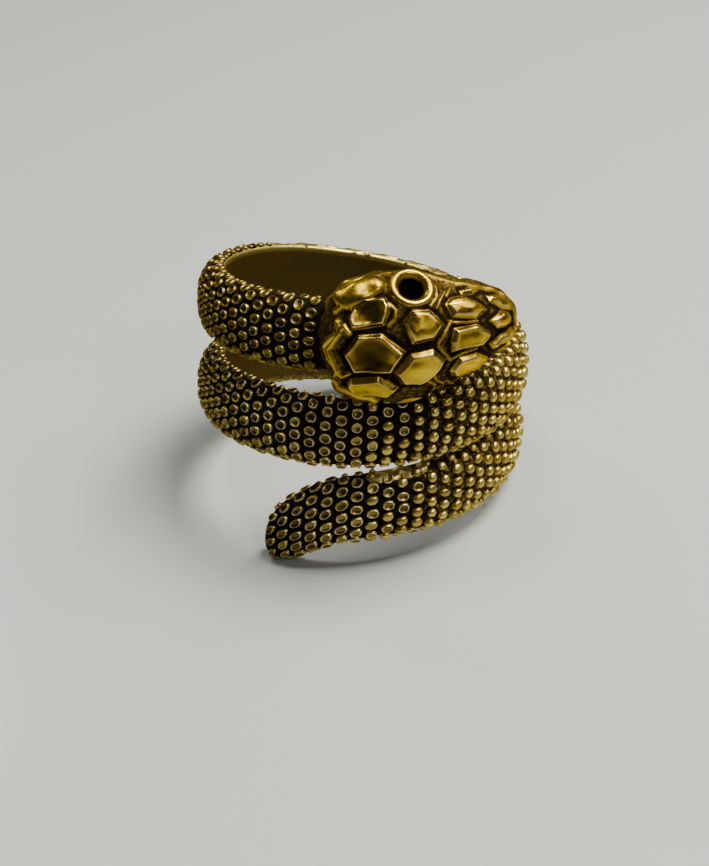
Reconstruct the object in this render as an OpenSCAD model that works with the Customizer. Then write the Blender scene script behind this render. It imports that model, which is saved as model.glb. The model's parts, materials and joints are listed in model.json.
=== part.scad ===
// Coiled snake finger ring: one brass casting, a scaled band that winds twice round the
// finger from a low blunt tail to a broad plated head. Millimetres, +Z up, at rest.

/* [Band] */
// Inside diameter, the finger size
bore_d = 19.2; // [18:0.2:21]
// Thickness of the band with its scales, as a share of the design
wall_share = 1; // [0.9:0.05:1.15]
// Width of the band, as a share of the design
width_share = 1; // [0.9:0.02:1.04]
// Height of the sloping land between the bore and the outermost scales
rim_land = 0.3; // [0.2:0.05:0.4]
// How full the outside of the band is: 2 is an ellipse, more is squarer
roundness = 2.3; // [2:0.1:3]

/* [Scales] */
// Spacing of the scale columns along the band
scale_pitch = 1.02; // [1:0.05:1.4]
// Scales across the band in every other column
scale_rows = 7; // [5:1:7]
// Height of a scale above its groove
scale_rise = 0.28; // [0.15:0.01:0.35]
// Length of the crest of a scale, as a share of the column spacing
crest_share = 0.4; // [0.2:0.05:0.6]

/* [Head] */
// Height of the crown, as a share of the design
crown_share = 1; // [0.9:0.02:1.1]
// Height of the head plates above the grooves
plate_rise = 0.3; // [0.2:0.02:0.4]
// Bevel of the head plates, as a share of their size
plate_bevel = 0.24; // [0.15:0.01:0.35]

/* [Eyes] */
// Outside radius of the eye bezel
eye_r = 1.2; // [1.1:0.05:1.4]
// Radius of the empty eye socket
socket_r = 0.72; // [0.6:0.02:0.85]
// Depth of the socket below the lip of its bezel
socket_depth = 0.95; // [0.6:0.05:1.1]

/* [Hidden] */
bore_r = bore_d / 2;
// How far the solids run inside the bore before it is cut
under = 0.5;

// The band from tail to neck: angle round the finger, height of its middle, half width, wall
COIL = [
    [235, 1.05, 0.70, 1.00], [236, 1.18, 1.15, 1.35], [238, 1.48, 1.60, 1.58],
    [241, 1.84, 1.96, 1.73], [245, 2.28, 2.20, 1.84], [252, 3.05, 2.30, 1.90], [262, 3.95, 2.28, 1.90],
    [275, 4.55, 2.28, 1.90], [300, 5.15, 2.28, 1.90], [330, 5.75, 2.28, 1.90],
    [360, 6.25, 2.28, 1.90], [420, 6.96, 2.28, 1.90], [480, 7.90, 2.28, 1.90],
    [540, 9.05, 2.28, 1.90], [585, 9.50, 2.28, 1.90], [630, 9.70, 2.28, 1.90],
    [675, 10.50, 2.28, 1.90], [720, 11.35, 2.28, 1.90], [765, 12.30, 2.28, 1.90],
    [810, 13.35, 2.28, 1.90], [855, 14.50, 2.28, 1.90], [900, 15.20, 2.28, 1.90],
    [935, 15.60, 2.28, 1.90], [970, 16.00, 2.28, 1.90], [1000, 16.30, 2.28, 1.90]
];
tail_angle = COIL[0][0];
neck_angle = 983;

// The head from back to snout: share of its arc, half width, crown height, turn of the crown,
// and how far it is lifted
HEAD = [
    [0.00, 1.20, 2.25, -5, 0.00], [0.03, 2.25, 3.00, -5, 0.00], [0.08, 3.05, 3.65, -5, 0.00],
    [0.16, 3.65, 4.20, -4, 0.00], [0.28, 3.95, 4.50, -1, 0.00], [0.42, 3.85, 4.60, 5, 0.05],
    [0.56, 3.32, 4.40, 7, 0.24], [0.70, 2.78, 3.95, 5, 0.38], [0.84, 2.26, 3.35, 2, 0.35],
    [0.94, 1.85, 2.80, 1, 0.21], [0.98, 1.56, 2.35, 1, 0.12], [1.00, 1.10, 1.80, 1, 0.10]
];
head_from = 977;
head_arc = 67.5;
head_z = 16.6;
head_roundness = 2.2;
HEAD_STATIONS = [0, 0.015, 0.04, 0.08, 0.14, 0.21, 0.29, 0.37, 0.45, 0.53, 0.61, 0.69, 0.77,
    0.84, 0.90, 0.95, 0.98, 1];
head_sides = 18;

// Corners of the head plates: share of the arc, degrees from the turned crown.
// Those on the midline first, then those on the side of the upper eye and of the lower eye.
MIDDLE_PLATES = [
    [[0.12, 0], [0.17, 19], [0.255, 19], [0.34, 0], [0.30, -18], [0.16, -18]],
    [[0.512, 0], [0.526, 12], [0.624, 13], [0.70, -1], [0.65, -14], [0.52, -11]]
];
UPPER_PLATES = [
    [[0.132, 35], [0.142, 47], [0.19, 53], [0.266, 51], [0.288, 41], [0.264, 26], [0.148, 24]],
    [[0.332, 26], [0.368, 35], [0.432, 33], [0.486, 17], [0.444, 6], [0.364, 6]],
    [[0.502, 36], [0.532, 43], [0.596, 45], [0.658, 37], [0.698, 28], [0.628, 19], [0.526, 23]],
    [[0.704, 14], [0.778, 25], [0.844, 19], [0.862, 3], [0.75, 2]],
    [[0.73, 38], [0.73, 48], [0.812, 48], [0.858, 35], [0.864, 25], [0.796, 27]],
    [[0.118, 61], [0.162, 69], [0.234, 77], [0.274, 75], [0.286, 68], [0.22, 61], [0.146, 56]],
    [[0.59, 48], [0.59, 53], [0.65, 58], [0.698, 56], [0.65, 48]]
];
LOWER_PLATES = [
    [[0.135, 38], [0.17, 50], [0.30, 46], [0.328, 35], [0.252, 21], [0.154, 27]],
    [[0.308, 18], [0.34, 32], [0.408, 38], [0.464, 30], [0.492, 17], [0.438, 3], [0.362, 3]],
    [[0.55, 32], [0.572, 36], [0.682, 44], [0.734, 39], [0.638, 22], [0.554, 20]],
    [[0.704, 16], [0.734, 26], [0.90, 28], [0.872, 5], [0.778, 8]],
    [[0.118, 61], [0.162, 69], [0.234, 77], [0.274, 75], [0.286, 68], [0.22, 61], [0.146, 56]]
];
// The eyes: share of the arc, degrees from the radial, degrees whose outward direction each
// one faces, and how far it is lifted
EYES = [[0.38, 62, 60, -0.05], [0.40, -80, -80, -0.25]];

// How the ring stands by itself on its tail and first turn: lean of the finger axis, the way
// that it leans, then the shift that centres it on the surface
lean = 12.44;
lean_dir = 58.5;
rest_shift = [-1.146, -1.347, -2.008];

// Smooth curve through column c of a table, at x
function row_of(t, x, i = 0) = i >= len(t) - 2 || x < t[i + 1][0] ? i : row_of(t, x, i + 1);
function slope(t, c, i) =
    let (a = max(i - 1, 0), b = min(i + 1, len(t) - 1)) (t[b][c] - t[a][c]) / (t[b][0] - t[a][0]);
function curve(t, c, x) =
    let (i = row_of(t, x), w = t[i + 1][0] - t[i][0], u = (x - t[i][0]) / w)
    t[i][c] * (1 + 2 * u) * (1 - u) * (1 - u) + t[i + 1][c] * u * u * (3 - 2 * u)
    + slope(t, c, i) * w * u * (1 - u) * (1 - u) - slope(t, c, i + 1) * w * u * u * (1 - u);

function around(angle, r, z) = [r * cos(angle), r * sin(angle), z];
// Reach of a full oval of power n, q degrees from its crown
function bulge(q, n) = 1 / pow(pow(abs(cos(q)), n) + pow(abs(sin(q)), n), 1 / n);

// The inside of the solids, under the bore's wall, and just clear of it at both ends
function under_r(from, to, angle) =
    bore_r - min(under, 0.12 * (angle - from) - 0.15, 0.12 * (to - angle) - 0.15);

// Angle in the band's section, k half scales up from its lower rim, with the rows evenly wide
function section_angle(k) = let (x = 2 * k / halves - 1) 90 * x - 6 * sin(180 * x);

// Point of the band's outside, k half scales up from its lower rim
function band_point(angle, k, rise) =
    let (
        q = section_angle(k),
        t = curve(COIL, 3, angle) * wall_share - scale_rise,
        m = bulge(q, roundness),
        out = rim_land + ((t - rim_land) * m + rise) * cos(q),
        up = (curve(COIL, 2, angle) * width_share * m + rise) * sin(q)
    ) around(angle, bore_r + out, curve(COIL, 1, angle) + up);
function under_point(angle, side) =
    around(angle, under_r(tail_angle, neck_angle, angle),
        curve(COIL, 1, angle) + side * 0.86 * curve(COIL, 2, angle) * width_share);

// Scales stand in columns round the finger, and every other column is half a scale higher.
// Each is a crest with slopes to the six corners of its cell.
halves = 2 * scale_rows;
columns = 2 * round((neck_angle - tail_angle) * PI / 360 * (bore_r + 1.9) / scale_pitch);
step = (neck_angle - tail_angle) / columns;
function column_angle(i) = tail_angle + step * i;
function is_end(i) = i == 0 || i == columns;
function is_even(i) = i % 2 == 0;
function places(i) = is_even(i) ? [1:2:halves - 1] : [2:2:halves - 2];

// Where the points of column i start, and which of them is what
function base(i) = i == 0 ? 0 : 4 + scale_rows
    + floor(i / 2) * 4 * (scale_rows - 1) + floor((i - 1) / 2) * (6 + 4 * scale_rows);
function cell(i, k, p) = base(i) + (is_even(i) ? 6 : 0) + 4 * floor((k - 1) / 2) + p;
function rim(i, side, p) =
    base(i) + 2 + (is_end(i) ? (side > 0 ? 1 : 0) : (side > 0 ? 2 : 0) + p);
function corner(i, k, p) = is_end(i) ? base(i) + 4 + (k - 1) / 2 : cell(i, k, p);

function column_points(i) =
    let (a = column_angle(i)) concat(
        is_even(i) ? [under_point(a, -1), under_point(a, 1)] : [],
        is_end(i) ? [band_point(a, 0, 0), band_point(a, halves, 0)] : [],
        is_end(i) ? [for (k = places(i)) band_point(a, k, 0)] : [],
        is_even(i) && !is_end(i)
            ? [for (k = [0, halves], d = [-0.4, 0.4]) band_point(a + d * step, k, 0)] : [],
        is_end(i) ? [] : [for (k = places(i)) each [
            band_point(a - 0.6 * step, k, 0), band_point(a + 0.6 * step, k, 0),
            band_point(a - crest_share / 2 * step, k, scale_rise),
            band_point(a + crest_share / 2 * step, k, scale_rise)]]
    );

function scale_faces(i, k) =
    let (
        top = k + 1 == halves, low = k == 1,
        nw = top ? rim(i, 1, 0) : corner(i - 1, k + 1, 1),
        ne = top ? rim(i, 1, 1) : corner(i + 1, k + 1, 0),
        sw = low ? rim(i, -1, 0) : corner(i - 1, k - 1, 1),
        se = low ? rim(i, -1, 1) : corner(i + 1, k - 1, 0),
        w = cell(i, k, 0), e = cell(i, k, 1), a = cell(i, k, 2), b = cell(i, k, 3)
    ) [[a, nw, ne], [a, ne, b], [b, ne, e], [b, e, se], [b, se, sw], [b, sw, a], [a, sw, w], [a, w, nw]];

// The land along the rims, beside the columns that stand back from it
function land_faces(i) =
    let (
        a = rim(i - 1, -1, 1), b = rim(i + 1, -1, 0), c = corner(i + 1, 1, 0), d = corner(i - 1, 1, 1),
        e = rim(i - 1, 1, 1), f = rim(i + 1, 1, 0),
        g = corner(i + 1, halves - 1, 0), h = corner(i - 1, halves - 1, 1)
    ) [[a, d, c], [a, c, b], [h, e, f], [h, f, g]];

// The sides that go down into the bore, and the face inside it
function side_faces(i) =
    let (a = base(i), b = base(i + 2)) [
        [a, rim(i, -1, 1), rim(i + 2, -1, 0)], [a, rim(i + 2, -1, 0), b],
        [a + 1, rim(i + 2, 1, 0), rim(i, 1, 1)], [a + 1, b + 1, rim(i + 2, 1, 0)],
        [a, b, b + 1], [a, b + 1, a + 1]
    ];

module band() {
    points = [for (i = [0:columns]) each column_points(i)];
    faces = concat(
        [for (i = [1:columns - 1], k = places(i)) each scale_faces(i, k)],
        [for (i = [1:2:columns - 1]) each land_faces(i)],
        [for (i = [0:2:columns - 2]) each side_faces(i)],
        [for (i = [2:2:columns - 2]) each [
            [base(i), rim(i, -1, 0), rim(i, -1, 1)], [base(i) + 1, rim(i, 1, 1), rim(i, 1, 0)]]],
        // the ends
        [for (k = places(1)) each [
            [corner(0, k - 1, 1), corner(0, k + 1, 1), cell(1, k, 0)],
            [cell(columns - 1, k, 1), corner(columns, k + 1, 0), corner(columns, k - 1, 0)]]],
        [concat([1, 3], [for (n = [scale_rows - 1:-1:0]) 4 + n], [2, 0])],
        [concat([for (p = [0, 2]) base(columns) + p], [for (n = [0:scale_rows - 1]) base(columns) + 4 + n],
            [for (p = [3, 1]) base(columns) + p])]
    );
    color("#8f7a35") polyhedron(points, faces, convexity = 10);
}

// Point of the head's outside at share s of its arc, q degrees from the radial, and the
// direction that leaves the surface there
function head_out(s) = curve(HEAD, 2, s) * crown_share;
function head_angle(s) = head_from + head_arc * s;
function head_middle(s) = head_z + curve(HEAD, 4, s);
function head_point(s, q, rise = 0) =
    let (
        h = head_out(s), w = curve(HEAD, 1, s), m = bulge(q, head_roundness), a = head_angle(s),
        d = norm([cos(q) / (0.72 * h), sin(q) / w])
    ) around(a, bore_r + 0.28 * h + 0.72 * h * m * cos(q), head_middle(s) + w * m * sin(q))
        + rise * around(a, cos(q) / (0.72 * h) / d, sin(q) / w / d);
function head_normal(s, q) = head_point(s, q, 1) - head_point(s, q, 0);

module head() {
    n = head_sides + 3;
    last = len(HEAD_STATIONS) - 1;
    points = [for (s = HEAD_STATIONS)
        let (a = head_angle(s), r = under_r(head_from, head_from + head_arc, a), w = 0.8 * curve(HEAD, 1, s))
        each concat(
            [around(a, r, head_middle(s) - w)],
            [for (j = [0:head_sides]) head_point(s, 200 * j / head_sides - 100)],
            [around(a, r, head_middle(s) + w)]
        )];
    faces = concat(
        [for (i = [0:last - 1], j = [0:n - 1])
            let (a = i * n + j, b = i * n + (j + 1) % n)
            each [[a, b, b + n], [a, b + n, a + n]]],
        [[for (j = [n - 1:-1:0]) j]],
        [[for (j = [0:n - 1]) last * n + j]]
    );
    color("#a8862f") polyhedron(points, faces, convexity = 6);
}

// A raised plate: its outline sunk in the head, bevelled in to a low domed top
module plate(corners, side) {
    n = 2 * len(corners);
    outline = [for (i = [0:len(corners) - 1])
        each [corners[i], (corners[i] + corners[(i + 1) % len(corners)]) / 2]];
    middle = [for (c = [0, 1]) [for (p = outline) p[c]] * [for (p = outline) 1] / n];
    function spot(p, rise) = head_point(p[0], side * p[1] + curve(HEAD, 3, p[0]), rise);
    ring = side > 0 ? outline : [for (i = [n - 1:-1:0]) outline[i]];
    points = concat(
        [for (p = ring) spot(p, -0.3)],
        [for (p = ring) spot(p + plate_bevel * (middle - p), plate_rise)],
        [spot(middle, -0.4), spot(middle, plate_rise + 0.05)]
    );
    faces = [for (i = [0:n - 1]) let (j = (i + 1) % n) each [
        [i, j, n + j], [i, n + j, n + i], [j, i, 2 * n], [n + i, n + j, 2 * n + 1]]];
    color("#c09a3a") polyhedron(points, faces, convexity = 2);
}

module plates() {
    for (p = concat(MIDDLE_PLATES, UPPER_PLATES)) plate(p, 1);
    for (p = LOWER_PLATES) plate(p, -1);
}

// Stands something up on the surface of the head at one eye
module on_eye(eye) {
    v = head_normal(eye[0], eye[2]);
    translate(head_point(eye[0], eye[1]) + eye[3] * v) rotate([0, acos(v.z), atan2(v.y, v.x)]) children();
}

// The round raised lip of one eye
module bezel() {
    sides = 24;
    outline = [[eye_r, -1.2], [eye_r, 0.1], [eye_r - 0.15, 0.4], [(eye_r + socket_r) / 2, 0.5],
        [socket_r - 0.05, 0.35], [socket_r - 0.05, -1.2]];
    n = len(outline);
    points = [for (i = [0:sides - 1], p = outline) around(360 * i / sides, p[0], p[1])];
    faces = [for (i = [0:sides - 1], j = [0:n - 1])
        let (a = i * n, b = (i + 1) % sides * n, k = (j + 1) % n)
        each [[a + j, a + k, b + k], [a + j, b + k, b + j]]];
    color("#c09a3a") polyhedron(points, faces, convexity = 4);
}

module eyes() {
    for (eye = EYES) on_eye(eye) bezel();
}

// What is cut out: the finger bore and the two sockets
module bore() {
    translate([0, 0, -2]) cylinder(r = bore_r, h = 26, $fn = 180);
}

module sockets() {
    for (eye = EYES) on_eye(eye)
        translate([0, 0, 0.5 - socket_depth]) cylinder(r = socket_r, h = 2, $fn = 32);
}

module snake_ring() {
    translate(rest_shift) rotate([0, 0, lean_dir]) rotate([0, lean, 0]) rotate([0, 0, -lean_dir])
        difference() {
            union() {
                band();
                head();
                plates();
                eyes();
            }
            bore();
            sockets();
        }
}

snake_ring();
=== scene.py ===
"""Coiled snake finger ring of antiqued brass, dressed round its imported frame.

Shapes are worked out in millimetres in the ring's own frame, whose +Z is the finger axis,
and are then turned and moved to the pose in which the ring stands on a surface.
"""

import json
import math

import bpy
import numpy as np
from mathutils import Matrix, Vector


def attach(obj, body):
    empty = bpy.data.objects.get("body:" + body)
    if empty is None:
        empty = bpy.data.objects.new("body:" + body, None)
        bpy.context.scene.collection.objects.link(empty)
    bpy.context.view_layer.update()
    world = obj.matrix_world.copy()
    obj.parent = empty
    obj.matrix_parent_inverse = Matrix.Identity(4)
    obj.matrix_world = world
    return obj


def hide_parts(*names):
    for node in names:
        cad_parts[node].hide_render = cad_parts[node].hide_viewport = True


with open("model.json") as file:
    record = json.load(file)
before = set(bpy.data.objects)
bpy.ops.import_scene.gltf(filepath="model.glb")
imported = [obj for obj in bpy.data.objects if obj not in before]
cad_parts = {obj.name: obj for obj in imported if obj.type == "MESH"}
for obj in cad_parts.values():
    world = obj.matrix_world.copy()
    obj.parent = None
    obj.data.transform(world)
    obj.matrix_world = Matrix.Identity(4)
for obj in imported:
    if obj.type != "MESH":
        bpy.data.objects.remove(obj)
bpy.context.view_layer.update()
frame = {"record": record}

MM = 0.001
FULL = np.newaxis
SEED = 11
WAVES, WAVE_RANGE = 40, (0.7, 1.6)  # waves that make up an unevenness, and how their sizes differ
DOME_TURN, DOME_RINGS = 88, 7  # degrees that a rounded end turns, nearly to its middle

# The band's section: half width, wall at the crown, wall at the rims
BAND_HALF, BAND_WALL, RIM_WALL = 2.28, 1.90, 0.3
BAND_ROUNDNESS = 2.3
BORE_MIDDLE = 10.1  # height of the middle of the finger opening
INNER_SHARE = 0.9475  # half height of the bore's wall, as a share of the half width
INNER_EDGE = 0.16  # rounding between the rims and the bore's wall
RIM_STEPS = (0.25, 0.18)  # distances from the bore of the points on the rims
EDGE_SHADE = 0.35  # how much of the painted shade of the bore that rounding has
TAIL_DOME = 0.22
CORE_SAMPLES = (4, 48)  # for each column of scales, and across
EDGE_SAMPLES, WALL_SAMPLES = 6, 13  # round the inner edge, and down the bore's wall
# How far the band's inner wall gives way to the head's, and over which degrees from its back
UNDER_HEAD, HEAD_COVER = 0.3, (-0.2, 1.2)

# The tail's end: angle round the finger, height of its middle, half width, wall
TAIL = [
    [235, 1.05, 0.70, 1.00], [236, 1.18, 1.15, 1.35], [238, 1.48, 1.60, 1.58],
    [241, 1.84, 1.96, 1.73], [245, 2.28, 2.20, 1.84], [252, 3.05, 2.30, 1.90],
]
# The full band from there to the neck: angle and height of its middle
CLIMB = [
    (262, 3.95), (275, 4.55), (300, 5.15), (330, 5.75), (360, 6.25), (420, 6.96), (480, 7.90),
    (540, 9.05), (585, 9.50), (630, 9.70), (675, 10.50), (720, 11.35), (765, 12.30), (810, 13.35),
    (855, 14.50), (900, 15.20), (935, 15.60), (970, 16.00), (1000, 16.30),
]
COIL = np.array(TAIL + [[angle, height, BAND_HALF, BAND_WALL] for angle, height in CLIMB])
TAIL_ANGLE, NECK_ANGLE = COIL[0, 0], 983.0

# Scales: rows on each side of the crown, distance between the columns and between the rows,
# depth of the grooves below the band's wall, and each one's own oval
SCALE_ROWS = 7
SCALE_PITCH = 1.02
HALF_ROW = 0.42
SCALE_RISE = 0.28
SCALE_HALF_LENGTH = 0.435
SCALE_HALF_WIDTH = 0.335
SCALE_POWER = 2.15
SCALE_SIDES = 28
SCALE_LEVEL = 1.7  # distance from the bore at which their length is measured
SLOPE_STEPS = (0.2, 1.0)  # degrees along and across over which the slope below one is taken
NECK_FADE = 974.0  # angle from which they give way to the crevice behind the head
# Where the finder looks: degrees and millimetres from the crown, and how many places along the
# coil, in degrees and in millimetres it tries
FINDER_SPAN, FINDER_REACH, FINDER_SAMPLES = 100, 3.8, (600, 201, 305)

# Where they end: how far from the crown, how much room one needs beyond its middle, and how
# much lower the outermost ones are, which grows over these distances from the crown
EDGE_REACH, EDGE_ROOM = 3.2, 0.2
EDGE_DROP, EDGE_BAND = 0.35, (2.0, 2.9)
BEAD_RUN, BEAD_SIZE = 3.02, 0.58  # place and size of those that fill every other column's edge
TIP_BARE = (237.5, -2)  # below this angle, rows below this one are left out
TIP_SHRINK, TIP_RANGE = 0.16, (236.0, 255.0)  # how much smaller the first ones are
OPEN_EDGES = [(395.0, 505.0), (880.0, 1000.0)]  # angles between which the lower rim is bare
OPEN_LAST_ROW = -6  # the last row above it

# Smooth stretches of the upper rim: angles, last row of scales below it, and its brightness
FAINT_RIM = 0.36
SMOOTH_RIMS = [(276.0, 293.0, 5, 1.3), (738.0, 854.0, 4, FAINT_RIM)]
RIM_BLEND = (4.0, 2.0)  # degrees beyond and within each end over which the brightness fades
RIM_FADE, RIM_SMALLEST = 12.0, 0.55  # degrees over which its rows dwindle, and to what size
RIM_WAVE, RIM_DEPTH, RIM_LIMIT = 0.9, 0.05, 0.4  # its waves: size, height, where they are cut off
RIM_MOTTLE, EDGE_MOTTLE = 0.6, 0.55  # how much they change the brightness, outside and inside
LAND_FROM = (48, 62)  # degrees from the crown over which the rim begins
EDGE_RELIEF = (0.42, 0.25)  # how bright the inner edges are, from the upper to the lower
EDGE_BRIGHT, BRIGHT_RIM = 0.6, (0.5, 1.0)  # how much brighter they are where the rim is this bright
GAP_RELIEF, GAP_SIDE = 0.19, (0.2, 1.0)  # how bright the gaps are between the worn scales, and where

# A scale from its foot to its middle: share of the oval, height when ringed and when domed,
# how bright the metal is in each case (above 1 it turns pale, a painted highlight), and how brown
SCALE_FORM = np.array([
    [1.08, -0.08, -0.08, 0.0, 0.0, 0.0], [1.02, 0.04, 0.03, 0.1, 0.3, 0.0],
    [0.96, 0.11, 0.125, 0.5, 0.7, 0.0], [0.89, 0.175, 0.185, 1.0, 0.9, 0.0],
    [0.82, 0.22, 0.23, 1.3, 1.0, 0.0], [0.75, 0.24, 0.26, 1.3, 1.0, 0.1],
    [0.68, 0.215, 0.28, 0.9, 1.0, 0.7], [0.56, 0.15, 0.305, 0.6, 1.05, 1.0],
    [0.28, 0.115, 0.34, 0.6, 1.06, 1.0], [0.00, 0.11, 0.35, 0.6, 1.06, 1.0],
])

# Places across the ring, from its left, that govern how scales differ there
WORN_FROM, WORN_TO = -3.0, 7.0  # millimetres that shares 0 and 1 of the way across stand for
WORN_TURN = (0.46, 0.54)  # shares between which the scales turn from ringed to domed
WORN_SCATTER, WORN_SPREAD = 0.3, 0.15  # how much that place and the wear differ by scale
DOMED_BELOW = 0.7  # scales smaller than this are always domed
LEFT_SIDE, LEFT_SHADE = (-0.9, 0.15), 0.72  # where they are browner as painted shade, and how much
FRONT_SIDE, FRONT_LIGHT = (-0.2, 0.4), 0.15  # where the rims of the cups brighten and their middles lighten, as painted light
RIGHT_SIDE, RIGHT_SHORT, RIGHT_NARROW = (0.25, 0.9), 0.12, 0.05  # where they are smaller
TAIL_END, TAIL_LONG = (265, 330), 0.10  # angles beyond which they are shorter
NECK_SIDE, NECK_SHADE, NECK_SHADE_BROWN = (850, 885), 0.3, 0.5  # angles beyond which they are duller and browner, as painted shade
UNEVEN, UNEVEN_MORE, UNEVEN_SIDE = 0.08, 0.06, (0.5, 0.8)  # how much they differ, more to the right
UNEVEN_LEAN, UNEVEN_SHIFT = 150, 0.5  # degrees and millimetres for a full share of that
CUP_TONE, CUP_VARY = 0.95, 0.2  # how brown the middles of the cups are, and how much that differs
DOME_CLEAN = 0.85  # how much less brown the domes are

# The head from back to snout: share of its arc, half width, crown height, turn of the crown,
# and how far it is lifted
HEAD = np.array([
    [-0.03, 0.60, 1.30, -5, 0.00], [0.00, 1.20, 2.25, -5, 0.00], [0.03, 2.25, 3.00, -5, 0.00],
    [0.08, 3.05, 3.65, -5, 0.00], [0.16, 3.65, 4.20, -4, 0.00], [0.28, 3.95, 4.50, -1, 0.00],
    [0.42, 3.85, 4.60, 5, 0.05], [0.56, 3.32, 4.40, 7, 0.24], [0.70, 2.78, 3.95, 5, 0.38],
    [0.84, 2.26, 3.35, 2, 0.35], [0.94, 1.85, 2.80, 1, 0.21], [0.98, 1.56, 2.35, 1, 0.12],
    [1.00, 1.10, 1.80, 1, 0.10],
])
HEAD_FROM = 977.0
HEAD_ARC = 67.5
HEAD_Z = 16.6
HEAD_ROUNDNESS = 2.2
HEAD_EDGE = 100.0  # degrees from the radial at which the head turns under
HEAD_SHOULDER = 0.28  # height of its widest place, as a share of the crown's
HEAD_TOP = 3.9  # distance from the bore at which its length is measured
HEAD_BORE_SHARE = 0.8  # half height of its inner wall, as a share of the half width
# Points between its edges and that wall: share of the way, and how much painted shade each has
HEAD_RIM = [(0.3, 0.0), (0.6, 0.2), (0.9, 0.6)]
SNOUT_DOME = 0.35
HEAD_SAMPLES, HEAD_ENDS = (300, 240), 0.35  # along and across, and how crowded at the ends
HEAD_WALL_RELIEF = 0.8
CAST_WAVE, CAST_DEPTH = 1.1, 0.035  # size and height of the unevenness of the casting

# Corners of the head plates: share of the arc, degrees from the turned crown. The numbers after
# them are how far the middle sinks (or, below nothing, how far it stands proud), the rise, the
# width of the bevel and how brown the plate is.
MIDDLE_PLATES = [
    ([(0.12, 0), (0.17, 19), (0.255, 19), (0.34, 0), (0.30, -18), (0.16, -18)],
     0.32, 0.36, 0.34, 1.0),
    ([(0.512, 0), (0.526, 12), (0.624, 13), (0.70, -1), (0.65, -14), (0.52, -11)],
     0.12, 0.32, 0.34, 0.4),
]
UPPER_PLATES = [
    ([(0.132, 35), (0.142, 47), (0.19, 53), (0.266, 51), (0.288, 41), (0.264, 26), (0.148, 24)],
     0.34, 0.36, 0.36, 0.8),
    ([(0.332, 26), (0.368, 35), (0.432, 33), (0.486, 17), (0.444, 6), (0.364, 6)],
     -0.06, 0.32, 0.50, 0.1),
    ([(0.502, 36), (0.532, 43), (0.596, 45), (0.658, 37), (0.698, 28), (0.628, 19), (0.526, 23)],
     -0.14, 0.28, 0.62, 0.0),
    ([(0.704, 14), (0.778, 25), (0.844, 19), (0.862, 3), (0.75, 2)],
     -0.10, 0.26, 0.60, 0.0),
    ([(0.73, 38), (0.73, 48), (0.812, 48), (0.858, 35), (0.864, 25), (0.796, 27)],
     -0.10, 0.24, 0.60, 0.0),
    ([(0.59, 48), (0.59, 53), (0.65, 58), (0.698, 56), (0.65, 48)],
     -0.03, 0.16, 0.40, 0.0),
]
LOWER_PLATES = [
    ([(0.135, -38), (0.17, -50), (0.30, -46), (0.328, -35), (0.252, -21), (0.154, -27)],
     0.06, 0.34, 0.40, 0.3),
    ([(0.308, -18), (0.34, -32), (0.408, -38), (0.464, -30), (0.492, -17), (0.438, -3),
      (0.362, -3)],
     0.04, 0.34, 0.40, 0.1),
    ([(0.528, -34), (0.552, -46), (0.668, -52), (0.734, -42), (0.638, -22), (0.554, -20)],
     0.02, 0.30, 0.40, 0.1),
    ([(0.704, -16), (0.734, -26), (0.90, -28), (0.872, -5), (0.778, -8)],
     -0.06, 0.26, 0.50, 0.0),
]
PLATES = MIDDLE_PLATES + UPPER_PLATES + LOWER_PLATES
PLATE_GROWTH = 0.10  # from the corners above to the bottom of the groove
MIDDLE_REACH = 1.1  # where a plate's middle begins, as a share of the way to its corners
# The lip round each plate and its worn line: height or brightness, and the distances from the
# edge at which it begins, is full, falls and ends
PLATE_LIP, LIP_FORM = 0.05, (0.10, 0.28, 0.28, 0.50)
PLATE_LINE, LINE_FORM = 0.12, (0.12, 0.26, 0.28, 0.44)
PLATE_BRIGHT, MIDDLE_BROWN = (-0.02, 0.22), (0.05, 0.7)  # where it brightens, and then browns
SKIN_RELIEF, SKIN_FROM = 0.26, (0.05, 0.35)  # how bright the skin is, and how far from a plate
JAW_SHADE_SIDE, JAW_SHADE_FROM = (30, 50), (0.40, 0.50)  # where the skin is darkened as painted shade under the head: degrees below, share of the arc

# Ridges in the skin on both sides: places along each, half width, rise, how bright
FOLDS = [
    ([(0.478, 56), (0.474, 45), (0.440, 36)], 0.26, 0.16, 0.45),
    ([(0.514, 50), (0.478, 40), (0.460, 33)], 0.24, 0.16, 0.45),
    ([(0.545, 56), (0.530, 50), (0.520, 46)], 0.24, 0.12, 0.45),
    ([(0.284, 44), (0.308, 37), (0.304, 29), (0.280, 25)], 0.26, 0.16, 0.45),
    ([(0.512, 19), (0.490, 11), (0.462, 1)], 0.22, 0.14, 0.50),
    ([(0.524, 18), (0.580, 16), (0.634, 16)], 0.18, 0.14, 0.50),
    ([(0.078, 44), (0.100, 48), (0.130, 52)], 0.30, 0.30, 1.00),
    ([(0.092, 31), (0.106, 21), (0.082, 11), (0.062, -1)], 0.34, 0.28, 0.70),
    ([(0.046, 1), (0.064, 12), (0.094, 20), (0.122, 27), (0.140, 21)], 0.32, 0.26, 0.75),
    ([(-0.01, 66), (0.020, 82), (0.060, 88), (0.130, 87), (0.258, 89), (0.330, 86)],
     0.50, 0.12, 0.80),
    ([(0.450, 84), (0.544, 72), (0.608, 65), (0.686, 62), (0.778, 61), (0.826, 54), (0.868, 40),
      (0.890, 20), (0.905, 0)], 0.45, 0.16, 0.60),
]

# The flat-topped swelling behind each eye: its axis, half width and rise
TEMPLE = ([(0.110, 58), (0.222, 68.5)], 0.85, 0.40)

# Each eye: share of the arc, degrees from the radial, how far it leans to the crown, its lift
EYES = {"eye_upper": (0.378, 61.0, 7.0, -0.14), "eye_lower": (0.400, -80.0, 0.0, -0.25)}
BEZEL_R = 1.39
SOCKET_R = 0.74
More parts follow.
